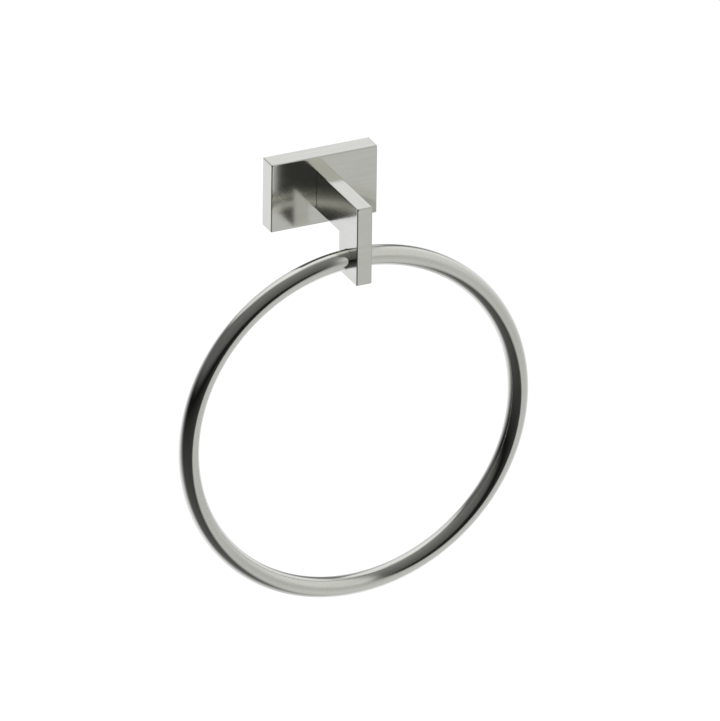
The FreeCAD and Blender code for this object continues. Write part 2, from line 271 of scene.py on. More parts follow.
def box_light(paint, turn, height):
    """The cloth's brightness: more above and below than in the middle, and more towards the right."""
    near_horizon = 1 - paint.smooth(paint.maths("ABSOLUTE", height), 0, 30)
    light = 0.603 + 0.225 * paint.smooth(height, -5, 28) + 0.095 * paint.smooth(-height, 5, 45)
    light = light + 0.12 * near_horizon * paint.smooth(turn, 50, 95) + 0.2 * paint.smooth(turn, 86, 124)
    light = light + 0.19 * paint.smooth(-height, 0, 50) * paint.smooth(turn, 60, 130)
    light = light - 0.1 * paint.smooth(height, 48, 70)
    return light - 0.09 * paint.smooth(height, 16, 38) * (1 - paint.smooth(turn, 25, 60))


print(f"soft box: from {BOX_LEFT} to {BOX_RIGHT} degrees to the right, wider below the horizon")

# %% [markdown]
# The white behind the object ends in a slanting edge on the left and fades slowly towards the soft box on
# the right. Straight behind the object it is dimmer in an upright strip, which shows most in the cover's
# front, by way of the leg and the ring. It was found by following those rays on from the cover.

# %% The white behind
STRIP_TURN = 154.5


def strip_depth(paint, turn, height):
    """What share of the white the strip takes, most of all at its upper end, where it is also wider."""
    upper_end = paint.smooth(height, -24, -12)
    strip = 1 - paint.smooth(paint.maths("ABSOLUTE", turn - STRIP_TURN), 5, 18 + 8 * upper_end)
    strip = strip * paint.smooth(-height, -2, 8) * (1 - paint.smooth(-height, 64, 78))
    return strip * (0.28 + 0.3 * upper_end)


def white_light(paint, turn, height):
    """White, dimmer at the horizon, towards the top and the foot, and in the strip."""
    light = 0.83 + 0.26 * paint.smooth(height, 20, 50) + 0.19 * paint.smooth(-height, 2, 24)
    light = light * (1 - 0.37 * paint.smooth(-height, 38, 104)) * (1 - 0.32 * paint.smooth(height, 63, 90))
    return light * (1 - strip_depth(paint, turn, height))


def white_left(paint, turn, height):
    """The mask's left end: above the horizon a slanting edge, below it one that fades slowly."""
    first_part = paint.maths("MINIMUM", height - 5, 25)
    second_part = paint.maths("MINIMUM", paint.maths("MAXIMUM", height - 30, 0), 20)
    upper_edge = -177 + 1.42 * first_part + 0.42 * second_part
    upper_blur = 7 + 18 * paint.smooth(height, 35, 55)
    upper = 1 - paint.step(turn, upper_edge, upper_blur)
    lower_edge = -144.8 + 35 * paint.smooth(-height, -5, 58)
    lower = 1 - paint.step(turn, lower_edge, 38.5)
    return laid_over(upper, lower, paint.smooth(-height, -23, 3))


def white_right(paint, turn, height):
    """The mask's right end, which lies nearer to the box high up and low down."""
    edge = 158.5 - 30 * paint.smooth(height, 27, 57) - 17 * paint.smooth(-height, -20, 5)
    blur = 19 - 10 * paint.smooth(height, 28, 42) + 6 * paint.smooth(height, 50, 62)
    return paint.step(turn, edge, blur)


print(f"white behind, with a dimmer strip at {STRIP_TURN} degrees")

# %% [markdown]
# The parts are laid over one another, each through its mask. Straight up and down, where turn means nothing,
# they melt into a ramp that is brighter at the back. The world then tells rays apart: the camera sees plain
# white, mirrored rays see the studio, and all others get an even light. The studio's white is a little warm
# at the front and a little cool at the back and low down.

# %% The whole studio
EVEN_LIGHT = 0.5
BLACK = (0, 0, 0, 1)
PLAIN_WHITE = (1, 1, 1, 1)
WARM_WHITE = (1, 1, 0.98, 1)
COOL_WHITE = (0.995, 1, 1.055, 1)


def studio_light(paint):
    """Brightness by direction, and how cool the light is, from 0 to 1. Turn is the angle of x against -y, and
    height is the arc sine of z."""
    direction = paint.node("ShaderNodeTexCoord", {}, {}, "Generated")
    parts = paint.node("ShaderNodeSeparateXYZ", {}, {0: direction})
    x, y, z = (paint.beside(parts, axis) for axis in range(3))
    turn = paint.maths("DEGREES", paint.maths("ARCTAN2", x, -y))
    height = paint.maths("DEGREES", paint.maths("ARCSINE", z))
    light = black_card(paint, height)
    light = laid_over(light, box_light(paint, turn, height), box_mask(paint, turn, height))
    behind = paint.maths("MAXIMUM", white_left(paint, turn, height), white_right(paint, turn, height))
    light = laid_over(light, white_light(paint, turn, height), behind)
    light = laid_over(light, 0.34 + 0.64 * y, paint.smooth(height, 68, 86))
    light = laid_over(light, 0.46 + 0.94 * y + 0.2 * x, paint.smooth(-height, 61, 86))
    return light, 0.5 + 0.33 * y - 0.12 * z


def paint_world():
    """White for the camera's rays, the studio for mirrored ones, and an even light for the rest."""
    world = bpy.data.worlds.new("studio")
    bpy.context.scene.world = world
    world.cycles.sampling_method = "NONE"
    paint = Paint(world)
    camera_ray = paint.node("ShaderNodeLightPath", {}, {}, "Is Camera Ray")
    mirrored = paint.beside(camera_ray, "Is Glossy Ray") + paint.beside(camera_ray, "Is Transmission Ray")
    studio, cool = studio_light(paint)
    tint = paint.mix(mirrored, PLAIN_WHITE, paint.mix(cool, WARM_WHITE, COOL_WHITE))
    strength = laid_over(EVEN_LIGHT, studio, mirrored)
    strength = laid_over(strength, 1, camera_ray)
    background = paint.node("ShaderNodeBackground", {}, {"Color": tint, "Strength": strength})
    paint.node("ShaderNodeOutputWorld", {}, {"Surface": background})
    print(f"world: {len(paint.tree.nodes)} nodes, white for the camera and a studio for the metal")


paint_world()

# %% [markdown]
# The object hangs on a wall, so the floor lies far below it, and its shadow falls below the picture's frame.
# Inside the frame the floor has to be as white as the background. A matt sheet alone is brightest right
# below the lamp, so for the camera's rays it adds light of its own, less of it where the lamp gives more.
# Reflections don't see the floor: the painted studio already holds what lies below the horizon.

# %% The floor
FLOOR_HEIGHT = -0.6
FLOOR_SIDE = 12
FLOOR_WHITE = (0.82, 0.82, 0.82, 1)
LAMP_HEIGHT = 1.4
LAMP_PLACE = (0, -0.2, LAMP_HEIGHT)
LIGHT_ADDED_FAR_OFF = 0.56
LIGHT_OF_THE_LAMP = 0.587


def rectangle(low, high):
    """The four corners of a flat rectangle, anticlockwise from its lowest."""
    (left, foot), (right, top) = low, high
    return [(left, foot), (right, foot), (right, top), (left, top)]


def flat_sheet(name, corners, material):
    """One sheet of a material, which belongs to the stage."""
    mesh = bpy.data.meshes.new(name)
    mesh.from_pydata(corners, [], [(0, 1, 2, 3)])
    mesh.materials.append(material)
    sheet = bpy.data.objects.new(name, mesh)
    bpy.context.scene.collection.objects.link(sheet)
    return sheet


def floor_white():
    """Pale and matt, with light of its own for the camera: a level sheet gets the lamp's light by the fourth
    power of drop over distance, and what it adds far off is lowered by as much."""
    paint = Paint(bpy.data.materials.new("pale_floor"))
    camera_ray = paint.node("ShaderNodeLightPath", {}, {}, "Is Camera Ray")
    place = paint.node("ShaderNodeTexCoord", {}, {}, "Object")
    measure = {"operation": "DISTANCE"}
    distance = paint.node("ShaderNodeVectorMath", measure, {0: place, 1: LAMP_PLACE}, "Value")
    lit = paint.maths("POWER", paint.maths("DIVIDE", LAMP_HEIGHT - FLOOR_HEIGHT, distance), 4)
    own_light = paint.mix(LIGHT_ADDED_FAR_OFF - LIGHT_OF_THE_LAMP * lit, BLACK, PLAIN_WHITE)
    matt = paint.node("ShaderNodeBsdfDiffuse", {}, {"Color": FLOOR_WHITE})
    glow = paint.node("ShaderNodeEmission", {}, {"Color": own_light})
    both = paint.node("ShaderNodeAddShader", {}, {0: matt, 1: glow})
    paint.show(paint.node("ShaderNodeMixShader", {}, {0: camera_ray, 1: matt, 2: both}))
    return paint.owner


half = FLOOR_SIDE / 2
corners = [(x, y, FLOOR_HEIGHT) for x, y in rectangle((-half, -half), (half, half))]
floor = flat_sheet("floor", corners, floor_white())
floor.visible_glossy = False
print(f"floor: {FLOOR_SIDE} m square, {-FLOOR_HEIGHT} m below the cover's middle")

# %% [markdown]
# A large soft lamp high above lights the floor. Reflections don't see it, so it adds no hard glints. The
# painted studio is endlessly far away, so it shows all level tops and the ring the same light. A white card
# close behind the cover gives the tops more.

# %% Lamp and white card
LAMP_SIDE = 1.6
LAMP_POWER = 36
CARD_DEPTH = 0.15
CARD_LOW = (0, 0.068)
CARD_HIGH = (0.16, 0.2)
CARD_LIGHT = 0.95
CARD_WHITE = (0.99, 0.995, 1.025, 1)


def hang_lamp():
    """A square area lamp that faces straight down."""
    light = bpy.data.lights.new("soft_lamp", "AREA")
    light.size = LAMP_SIDE
    light.energy = LAMP_POWER
    lamp = bpy.data.objects.new("soft_lamp", light)
    lamp.location = LAMP_PLACE
    lamp.visible_glossy = False
    lamp.visible_camera = False
    bpy.context.scene.collection.objects.link(lamp)


def hang_card():
    """A glowing card that is seen in reflections alone."""
    paint = Paint(bpy.data.materials.new("white_card"))
    paint.show(paint.node("ShaderNodeEmission", {}, {"Color": CARD_WHITE, "Strength": CARD_LIGHT}))
    corners = [(x, CARD_DEPTH, z) for x, z in rectangle(CARD_LOW, CARD_HIGH)]
    card = flat_sheet("white_card", corners, paint.owner)
    card.visible_camera = False
    card.visible_diffuse = False
    card.visible_shadow = False
    card.visible_transmission = False


hang_lamp()
hang_card()
print(f"lamp {LAMP_HEIGHT} m above the cover's middle, white card {CARD_DEPTH} m behind it")

# %% [markdown]
# Every new piece is a closed shell. Most of it is sheets: grids of points worked out as whole arrays, with
# columns round the piece. Flat ends and walls with holes are caps, which fill the space between an outer rim
# and the rims of the holes. Boolean modifiers could cut the holes too, but they leave stray thin faces that
# shade badly.

# %% A shell of sheets and caps
SAME_POINT = 0.0001 * MM
CIRCLE_STEPS = 48


class Shell:
    """Gathers the sheets and caps of one closed piece, and how near an edge each point lies, from 0 to 1."""

    def __init__(self):
        self.points = np.zeros((0, 3))
        self.near_edge = np.zeros(0)
        self.faces = []

    def sheet(self, points, near_edge=0.0, open_cells=()):
        """Adds a grid of points whose last column meets its first, and returns their numbers.
        A cell named in open_cells, by its row and column, gets no face."""
        rows, columns = points.shape[:2]
        numbers = len(self.points) + np.arange(rows * columns).reshape(rows, columns)
        self.points = np.concatenate([self.points, points.reshape(-1, 3)])
        shares = np.broadcast_to(near_edge, (rows, columns)).ravel()
        self.near_edge = np.concatenate([self.near_edge, shares])
        beside = np.roll(numbers, -1, axis=1)
        cells = np.stack([numbers[:-1], beside[:-1], beside[1:], numbers[1:]], axis=-1)
        filled = np.ones(cells.shape[:2], bool)
        for row, column in open_cells:
            filled[row, column] = False
        self.faces += cells[filled].tolist()
        return numbers

    def cell(self, numbers, row, column):
        """The four corners of one cell, as the outer rim of a cap."""
        beside = (column + 1) % numbers.shape[1]
        return numbers[[row, row, row + 1, row + 1], [column, beside, beside, column]]

    def cap(self, outer, holes=(), spread=None):
        """Fills the space inside the outer rim and outside the holes with triangles. On a bent wall, spread
        turns points into flat ones first."""
        rims = [self.without_repeats(rim) for rim in (outer, *holes)]
        flat = [self.points[rim] if spread is None else spread(self.points[rim]) for rim in rims]
        triangles = tessellate_polygon([rim.tolist() for rim in flat])
        self.faces += np.concatenate(rims)[np.array(triangles)].tolist()

    def without_repeats(self, rim):
        """The rim's numbers, less those whose point repeats the one before."""
        points = self.points[rim]
        step = np.linalg.norm(points - np.roll(points, 1, axis=0), axis=1)
        return np.asarray(rim)[step > SAME_POINT]

    def tube(self, first, last):
        """Adds the wall of a hole between two rims with as many points, and returns their numbers."""
        return tuple(self.sheet(np.stack([first, last])))

    def pierce(self, near_wall, far_wall, outlines, axis, start, end):
        """Carries outlines of holes along an axis from one flat wall to another, and fills both walls."""
        along = np.eye(3)[axis]
        rims = [self.tube(outline + start * along, outline + end * along) for outline in outlines]
        self.cap(near_wall, [near for near, far in rims])
        self.cap(far_wall, [far for near, far in rims])


def circle(centre, radius, axis, steps=CIRCLE_STEPS):
    """Points of a circle round one axis: centre plus radius times cosine and sine on the other two axes."""
    angle = np.linspace(0, math.tau, steps, endpoint=False)
    points = np.tile(np.asarray(centre, float), (steps, 1))
    points[:, (axis + 1) % 3] += radius * np.cos(angle)
    points[:, (axis + 2) % 3] += radius * np.sin(angle)
    return points


# %% [markdown]
# A shell becomes a piece in one way: its doubled points are merged, its faces are turned outwards, and each
# corner of a face gets a grain vector, which holds metres along and across the brush lines. The materials
# read it, so the lines follow each surface. A Weighted Normal modifier keeps the flats optically flat beside
# their small rounded edges, as a mirror-like finish needs.

# %% From shell to piece
MERGE_DISTANCE = 0.001 * MM
SHARP_ANGLE = math.radians(35)
FULL_WEIGHT = 100


def close_shell(mesh, shell):
    """Puts a shell in a mesh, merges what is doubled, turns the faces outwards, and measures the result."""
    mesh.from_pydata(shell.points.tolist(), [], shell.faces)
    mesh.attributes.new("near_edge", "FLOAT", "POINT").data.foreach_set("value", shell.near_edge)
    work = bmesh.new()
    work.from_mesh(mesh)
    bmesh.ops.remove_doubles(work, verts=work.verts, dist=MERGE_DISTANCE)
    bmesh.ops.recalc_face_normals(work, faces=work.faces)
    open_edges = sum(len(edge.link_faces) != 2 for edge in work.edges)
    volume = work.calc_volume() / MM ** 3
    work.to_mesh(mesh)
    work.free()
    mesh.shade_smooth()
    mesh.set_sharp_from_angle(angle=SHARP_ANGLE)
    print(f"{mesh.name}: {len(mesh.polygons)} faces, {volume:.0f} cubic mm, {open_edges} open edges")


def lay_grain(mesh, grain):
    """Works out the grain at every face corner from the corner's point and its face's normal."""
    points = np.zeros(len(mesh.vertices) * 3)
    mesh.vertices.foreach_get("co", points)
    normals = np.zeros(len(mesh.polygons) * 3)
    mesh.polygons.foreach_get("normal", normals)
    corners = np.zeros(len(mesh.polygons), int)
    mesh.polygons.foreach_get("loop_total", corners)
    vertex = np.zeros(len(mesh.loops), int)
    mesh.loops.foreach_get("vertex_index", vertex)
    lines = grain(points.reshape(-1, 3)[vertex], np.repeat(normals.reshape(-1, 3), corners, axis=0))
    attribute = mesh.attributes.new("grain", "FLOAT_VECTOR", "CORNER")
    attribute.data.foreach_set("vector", lines.ravel())


def make_piece(name, shell, grain, material, node, flat_faced=True):
    """Makes a piece that stands for a CAD node. A finish without brush lines takes None as its grain. A round
    piece needs no help to stay flat: there the plain smooth normals are the true ones."""
    mesh = bpy.data.meshes.new(name)
    close_shell(mesh, shell)
    if grain:
        lay_grain(mesh, grain)
    mesh.materials.append(material)
    piece = bpy.data.objects.new(name, mesh)
    bpy.context.scene.collection.objects.link(piece)
    if flat_faced:
        flats = piece.modifiers.new("flat_faces_stay_flat", "WEIGHTED_NORMAL")
        flats.weight = FULL_WEIGHT
        flats.keep_sharp = True
    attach(piece, "root")
    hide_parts(node)


# %% [markdown]
# Satin nickel is brushed with a fine belt. The brush leaves lines of many widths, all much longer than they
# are wide, so each layer of noise is stretched along the grain. The lines tilt the surface by a hair and
# change how sharply it mirrors. The edges are rubbed a little smoother. A darker line along every edge is
# painted shade in the colour, standing in for the dark reflection that the small rounded edges show. An
# image of brushed metal would repeat or blur, while noise stays sharp at any distance.

# %% Brushed nickel
NICKEL = (0.70, 0.70, 0.648)
COARSE_LINES_ALONG = 28
CLOUDS = (24, 60, 60)


def toned(tone, share):
    """A colour made lighter or darker by a share, with no part above 1."""
    return (*(min(1, share * part) for part in tone), 1)


def metal_surface(paint, shade, rough, height, depth):
    """Joins the parts of a metal: its colour, its roughness, and a bump that is depth metres high."""
    tilt = paint.node("ShaderNodeBump", {}, {"Strength": 1, "Distance": depth, "Height": height})
    sockets = {"Base Color": shade, "Metallic": 1, "Roughness": rough, "Normal": tilt}
    paint.show(paint.node("ShaderNodeBsdfPrincipled", {}, sockets))


def brushed_metal(name, tone, roughness, line_depth, fine=3200.0, coarse=420.0, short=70.0):
    """Metal with brush lines. fine and coarse say how many lines lie in a metre across the grain, and short
    says how many of the fine ones follow one another in a metre along it."""
    paint = Paint(bpy.data.materials.new(name))
    grain = paint.node("ShaderNodeAttribute", {"attribute_name": "grain"}, {}, "Vector")
    edge = paint.node("ShaderNodeAttribute", {"attribute_name": "near_edge"}, {}, "Fac")
    hair = paint.noise(paint.scale(grain, (short, fine, fine)), 3)
    line = paint.noise(paint.scale(grain, (COARSE_LINES_ALONG, coarse, coarse)), 2)
    cloud = paint.noise(paint.scale(grain, CLOUDS), 2)
    marks = 0.55 * hair + 0.3 * line + 0.15 * cloud
    edge_shade_and_wear = paint.smooth(edge, 0.55, 1)
    worn = edge_shade_and_wear * (0.4 + 0.6 * cloud)
    shade = paint.mix(paint.smooth(marks, 0.3, 0.7), toned(tone, 0.93), toned(tone, 1.05))
    # Painted shade: the colour turns darker along every edge, for the dark reflection of the small rounded
    # edges.
    shade = paint.mix(edge_shade_and_wear, shade, toned(tone, 0.82))
    rough = roughness * (0.75 + 0.5 * marks) - 0.05 * worn
    metal_surface(paint, shade, rough, 0.7 * hair + 0.3 * line, line_depth)
    return paint.owner


plate_nickel = brushed_metal("plate_nickel", NICKEL, 0.14, 1.2e-6)
arm_nickel = brushed_metal("arm_nickel", NICKEL, 0.13, 1.2e-6)
ring_nickel = brushed_metal("ring_nickel", NICKEL, 0.115, 1.0e-6, fine=1500.0, short=700.0)
print("nickel for the cover, the arm and the ring:", NICKEL)

# %% [markdown]
# The arm and the cover are both an outline carried across a thickness. Seen flat, the outline's corners are
# small arcs. Towards each face the whole outline also moves inwards along a quarter circle, which rounds the
# long edges by the same radius. A Bevel modifier could round them too, but here the same numbers tell the
# finish where the edges are. One function gives the outline for any number of such insets at once.

# %% Outlines with rounded corners
EDGE_RADIUS = 0.45 * MM
EDGE_MARGIN = 0.8 * MM
ARC_STEPS = 5
POINTS_PER_CORNER = ARC_STEPS + 2


def rounded_outline(corners, radii, insets, margin=EDGE_MARGIN):
    """Closed outline, once per inset: an array of insets by points by 2. At each corner the arc's centre lies
    its radius in from both edges, and the arc's own radius shrinks by the inset. Past that, the centre moves
    in as well. One more point stands on each side of the arc, a margin away. Corners run anticlockwise."""
    corners = np.asarray(corners, float)
    radii = np.broadcast_to(radii, len(corners)).astype(float)
    before = corners - np.roll(corners, 1, axis=0)
    before /= np.linalg.norm(before, axis=1)[:, None]
    after = np.roll(before, -1, axis=0)
    inward = np.stack([-before[:, 1], before[:, 0]], axis=1)
    next_inward = np.stack([-after[:, 1], after[:, 0]], axis=1)
    sine = before[:, 0] * after[:, 1] - before[:, 1] * after[:, 0]
    cosine = (before * after).sum(axis=1)
    turn = np.arctan2(sine, cosine)
    mitre = (inward + next_inward) / (1 + cosine)[:, None]

    inset = np.asarray(insets, float)[:, None]
    hollow = (turn < 0) & (radii > 0)
    move = np.where(hollow, -radii, np.maximum(radii, inset))
    reach = np.where(hollow, radii + inset, np.maximum(radii - inset, 0))
    side = np.where(hollow, 1.0, -1.0)
    centre = corners + move[..., None] * mitre

    angle = turn[:, None] * np.linspace(0, 1, ARC_STEPS)
    across = np.stack([-inward[:, 1], inward[:, 0]], axis=1)
    spoke = np.cos(angle)[..., None] * inward[:, None] + np.sin(angle)[..., None] * across[:, None]
    arc = centre[:, :, None] + (side * reach)[..., None, None] * spoke
    slide = np.maximum(margin - np.maximum(inset - radii, 0), 0)[..., None]
    start = arc[:, :, 0] - slide * before
    end = arc[:, :, -1] + slide * after
    path = np.concatenate([start[:, :, None], arc, end[:, :, None]], axis=2)
    return path.reshape(len(inset), -1, 2)


def straight(corner):
    """The column of the straight cell that follows a corner."""
    return corner * POINTS_PER_CORNER + POINTS_PER_CORNER - 1


def rounding(radius):
    """How far a quarter-circle edge has gone down from the face, and how far in it still is, step by step."""
    angle = np.linspace(0, math.pi / 2, ARC_STEPS)
    return radius * (1 - np.cos(angle)), radius * (1 - np.sin(angle))


edge_down, edge_in = rounding(EDGE_RADIUS)
print("edge rounding, millimetres in from the side:", np.round(edge_in / MM, 3))

# %% [markdown]
# The finish needs to know how near an edge each point lies. It can be on a long edge, which is a row of the
# sheet, or on an arc of the outline, which is a few columns of it. The copies of an upright outline become
# rows of points in space when each goes to its own place across.

# %% Edges and thickness
corner_edge = np.r_[0, np.ones(ARC_STEPS), 0]


def nearness(row_edge, on_side, corners):
    """1 on the rows of a long edge, and 1 on the arcs of all corners in the rows of the sides."""
    return np.maximum(row_edge[:, None], np.tile(corner_edge, corners) * on_side[:, None])


def carried_across(outlines, places):
    """Puts each outline of a stack, which holds y and z, at its own x."""
    x = np.broadcast_to(places[:, None, None], (*outlines.shape[:2], 1))
    return np.concatenate([x, outlines], axis=-1)


# %% [markdown]
# The cover is a hollow box, open at the wall. It could be a cube with modifiers, but one skin is simpler:
# it starts at the middle of the face, runs over the rounded edge, back along the side to the wall, across
# the rim, and forward again inside to the floor of the hollow. Holes for the two arm screws go through the
# face, where the arm hides them, and one hole for the locking screw goes through the lower side.

# %% The cover
WALL = 3 * MM
FACE = 3 * MM
HOLLOW_CORNER = 2 * MM
PLAIN_HOLE = 4.4 * MM
THREAD_HOLE = 4.1 * MM
ARM_SCREW_HEIGHTS = (6 * MM, -6 * MM)
LOCK_SCREW_DEPTH = -4.75 * MM
FACE_SHIFT = 0.1
hollow_floor = front + FACE


def cover_shell():
    """One skin of outlines, from the face's rim to the floor of the hollow, pierced where screws go through.
    Its rows are the rounded edge, the side up to the wall, then the hollow from the wall to its floor."""
    box = np.array(rectangle(plate_low[[0, 2]], plate_high[[0, 2]]))
    room = box - WALL * np.sign(box)
    step = EDGE_RADIUS + EDGE_MARGIN
    outside = rounded_outline(box, EDGE_RADIUS, np.r_[step, edge_in, 0, 0])
    inside = rounded_outline(room, HOLLOW_CORNER, [0, 0])
    outline = np.concatenate([outside, inside])
    depths = np.r_[front, front + edge_down, front + step, 0, 0, hollow_floor]
    depths = np.broadcast_to(depths[:, None], outline.shape[:2])
    rows = np.stack([outline[..., 0], depths, outline[..., 1]], axis=-1)
    row_edge = np.r_[0, np.ones(ARC_STEPS), 0, 0, 0, 0]
    on_side = np.r_[np.zeros(ARC_STEPS + 1), 1, 1, 0, 0]
    side_row = ARC_STEPS + 1
    hollow_row = side_row + 2
    low_side = straight(0)
    shell = Shell()
    numbers = shell.sheet(rows, nearness(row_edge, on_side, len(box)),
                          [(side_row, low_side), (hollow_row, low_side)])

    arm_holes = [circle((0, 0, height), PLAIN_HOLE / 2, 1) for height in ARM_SCREW_HEIGHTS]
    shell.pierce(numbers[0], numbers[-1], arm_holes, 1, front, hollow_floor)
    outside_cell = shell.cell(numbers, side_row, low_side)
    hollow_cell = shell.cell(numbers, hollow_row, low_side)
    lock_hole = circle((0, LOCK_SCREW_DEPTH, 0), THREAD_HOLE / 2, 2)
    shell.pierce(outside_cell, hollow_cell, [lock_hole], 2, plate_low[2], plate_low[2] + WALL)
    return shell


def plate_grain(points, normals):
    """Brush lines run level on the face, the top and the underside, and upright on the two ends. The third
    number differs from face to face, so that no line runs on round an edge."""
    x, y, z = points.T
    facing = np.abs(normals).argmax(axis=1)
    along = np.choose(facing, [z, x, x])
    across = np.choose(facing, [y, z, y])
    return np.stack([along, across, facing * FACE_SHIFT], axis=1)


make_piece("cover_skin", cover_shell(), plate_grain, plate_nickel, "cover_plate")

# %% [markdown]
# The arm is a flat bar cut to an L that stands upside down. Its outline is the L seen from the side, and it
# is carried across the bar's width with both long edges rounded. Two bars could be joined at the corner
# instead, but the real one has no seam there.

# %% The arm's outline
LEG_DEPTH = 22 * MM
inner_corner = arm_low[1] + LEG_DEPTH
underside = -arm_high[2]


def l_shaped_rows():
    """The L's outline, carried from face to face with both long edges rounded. Its corners at the cover and
    in the inner angle stay sharp."""
    outline = [(front, underside), (front, arm_high[2]), (arm_low[1], arm_high[2]), (arm_low[1], arm_low[2]),
               (inner_corner, arm_low[2]), (inner_corner, underside)]
    radii = np.full(len(outline), EDGE_RADIUS)
    radii[[0, 1, 5]] = 0
    half = arm_high[0]
    step = EDGE_RADIUS + EDGE_MARGIN
    insets = np.r_[step, edge_in, 0, 0, edge_in[::-1], step]
    across = np.r_[-half, -half + edge_down, -half + step, half - step, half - edge_down[::-1], half]
    row_edge = np.r_[0, np.ones(ARC_STEPS), 0, 0, np.ones(ARC_STEPS), 0]
    on_side = np.ones(len(row_edge))
    on_side[[0, -1]] = 0
    rows = carried_across(rounded_outline(outline, radii, insets), across)
    return rows, nearness(row_edge, on_side, len(outline))


# %% [markdown]
# The leg has a cross bore for the ring, and a small hole comes up into it from the foot, for the screw that
# grips the ring. Where that hole meets the bore's round wall, its rim is a bent curve, and the wall round it
# is filled as if it were rolled out flat. The bore fits the bar more closely than in the CAD model, because
# no gap is to be seen there.

# %% The cross bore
RING_PLAY = 0.14 * MM
BORE_STEPS = 60
WINDOW_STEPS = 16
bore_radius = bar_radius + RING_PLAY / 2
bore_height = arm_low[2] + LEG_DEPTH / 2
bore_depth = ring_centre[1]


def unroll_bore(points):
    """Lays the bore's wall flat: x stays, and the angle round the bore becomes a length."""
    angle = np.arctan2(points[:, 2] - bore_height, points[:, 1] - bore_depth)
    return np.stack([points[:, 0], angle * bore_radius], axis=1)


def bore_leg(shell, ends):
    """The bore between the two faces. It leaves a window at its lowest point, where the small hole comes up.
    That hole ends on the bore's wall, at the bore's height less the root of radius squared minus distance
    squared. Returns the small hole's rim at the leg's foot."""
    half = arm_high[0]
    bore = circle((0, bore_depth, bore_height), bore_radius, 0, BORE_STEPS)
    lowest = 3 * BORE_STEPS // 4
    bore = np.roll(bore, WINDOW_STEPS // 2 - lowest, axis=0)
    walls = np.stack([bore - (half, 0, 0), bore + (half, 0, 0)])
    walls = shell.sheet(walls, 0, [(0, column) for column in range(WINDOW_STEPS)])
    for end, wall in zip(ends, walls):
        shell.cap(end, [wall])

    outer = circle((0, bore_depth, arm_low[2]), THREAD_HOLE / 2, 2)
    inner = outer.copy()
    inner[:, 2] = bore_height - np.sqrt(bore_radius ** 2 - (inner[:, 1] - bore_depth) ** 2)
    outer_rim, inner_rim = shell.tube(outer, inner)
    window = np.r_[walls[0, :WINDOW_STEPS + 1], walls[1, WINDOW_STEPS::-1]]
    shell.cap(window, [inner_rim], unroll_bore)
    return outer_rim


print(f"bore: {2 * bore_radius / MM:.2f} mm for a bar of {2 * bar_radius / MM:.2f} mm")

# %% [markdown]
# The rows of the L, the bore and two blind holes in the end at the cover make the whole arm. The photograph
# shows level brush lines on all of it, on the leg too.

# %% The arm
BLIND_DEPTH = 8.5 * MM
ARM_SHIFT = 0.5


def arm_shell():
    """The L's rows, closed by two bored faces, with a hole in the foot and two in the end at the cover."""
    rows, near_edge = l_shaped_rows()
    middle_row = ARC_STEPS + 1
    cover_end, foot = straight(0), straight(3)
    shell = Shell()
    numbers = shell.sheet(rows, near_edge, [(middle_row, cover_end), (middle_row, foot)])
    foot_rim = bore_leg(shell, (numbers[0], numbers[-1]))
    shell.cap(shell.cell(numbers, middle_row, foot), [foot_rim])

    rims = []
    for height in ARM_SCREW_HEIGHTS:
        hole = circle((0, 0, height), THREAD_HOLE / 2, 1)
        mouth, floor = shell.tube(hole + (0, front, 0), hole + (0, front - BLIND_DEPTH, 0))
        shell.cap(floor)
        rims.append(mouth)
    shell.cap(shell.cell(numbers, middle_row, cover_end), rims)
    return shell


def arm_grain(points, normals):
    """Brush lines run out from the wall on the sides, the top and the underside, and from side to side on the
    front of the leg. A shift takes them from another place in the noise than the cover's."""
    x, y, z = points.T
    facing = np.abs(normals).argmax(axis=1)
    along = np.choose(facing, [y, x, y])
    across = np.choose(facing, [z, z, x])
    return np.stack([along, across, facing * FACE_SHIFT + ARM_SHIFT], axis=1)


make_piece("arm_bar", arm_shell(), arm_grain, arm_nickel, "arm")

# %% [markdown]
# The ring is one round bar bent into a circle, whose two ends meet inside the leg. It is a torus with a thin
# slit, which Blender's own torus lacks: a point goes round the large circle by one angle and round the bar
# by the other. The brush lines run lengthways.

# %% The ring
RING_STEPS = 400
BAR_STEPS = 64
END_GAP = 0.3 * MM


def ring_shell():
    """At turn u, (ring radius + bar radius * cos v) outwards from the centre and bar radius * sin v to -Y."""
    slit = END_GAP / 2 / ring_radius
    u = np.linspace(slit, math.tau - slit, RING_STEPS)[:, None]
    v = np.linspace(0, math.tau, BAR_STEPS, endpoint=False)
    out = ring_radius + bar_radius * np.cos(v)
    parts = np.broadcast_arrays(out * np.sin(u), -bar_radius * np.sin(v), out * np.cos(u))
    shell = Shell()
    numbers = shell.sheet(np.stack(parts, axis=-1) + ring_centre)
    shell.cap(numbers[0])
    shell.cap(numbers[-1])
    return shell


def ring_grain(points, normals):
    """Length along the circle, measured from the bottom, then the place in the bar's section."""
    x, y, z = (points - ring_centre).T
    return np.stack([np.arctan2(x, -z) * ring_radius, np.hypot(x, z) - ring_radius, y], axis=1)


make_piece("ring_bar", ring_shell(), ring_grain, ring_nickel, "ring", flat_faced=False)

# %% [markdown]
# Steel that stays hidden is zinc-plated against rust. Bright zinc is bluish and slightly cloudy over the fine
# lines of the rolling mill: two layers of noise on the piece's own coordinates, one stretched along the
# sheet.

# %% Bright zinc
ZINC_CLOUDS = (260, 260, 260)
ROLLING_LINES = (60, 2600, 2600)
ZINC_DARK = (0.53, 0.55, 0.58, 1)
ZINC_LIGHT = (0.68, 0.695, 0.71, 1)
ZINC_MARK_DEPTH = 2e-6


